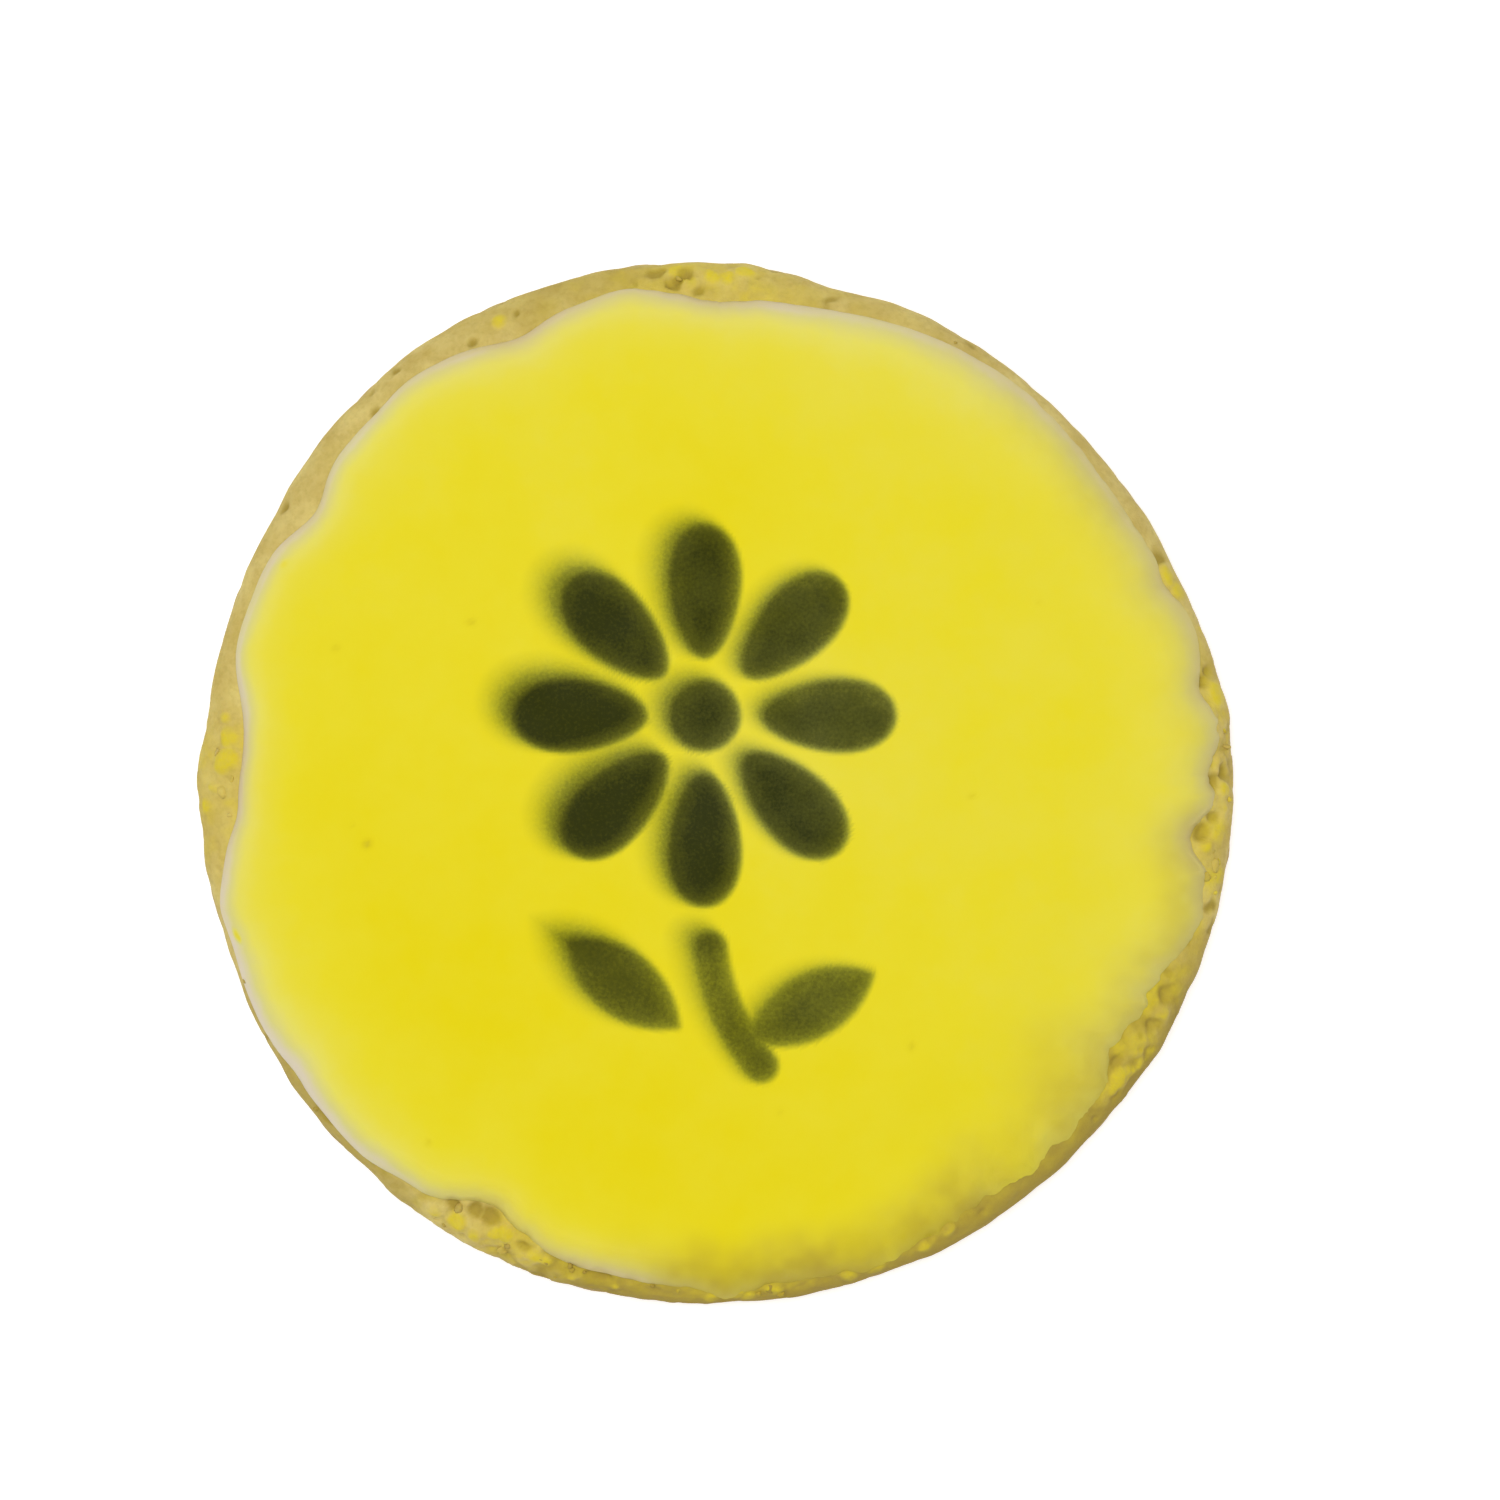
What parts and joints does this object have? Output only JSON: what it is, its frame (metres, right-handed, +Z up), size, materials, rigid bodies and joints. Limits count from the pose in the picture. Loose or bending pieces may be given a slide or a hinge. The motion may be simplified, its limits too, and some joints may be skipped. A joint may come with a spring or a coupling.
{
  "type": "iced sugar cookie",
  "caption": "Round sugar cookie under a poured cap of yellow icing with an airbrushed dark daisy; a pale, crumbly edge shows round the icing.",
  "frame": {"origin": "middle of the flat underside", "axes": "+Z up, out of the iced face; +Y towards the top of the daisy; +X to its right"},
  "size_m": [0.1, 0.1006, 0.0103],
  "materials": {
    "baked_dough": "pale baked dough, dry, sandy and matte, with a broken crumb at the edge",
    "yellow_icing": "smooth set icing with a soft satin surface, cream coloured, sprayed lemon yellow, with a dark olive stencilled daisy"
  },
  "bodies": {
    "root": {"cookie": "baked_dough", "icing": "yellow_icing"}
  },
  "joints": []
}
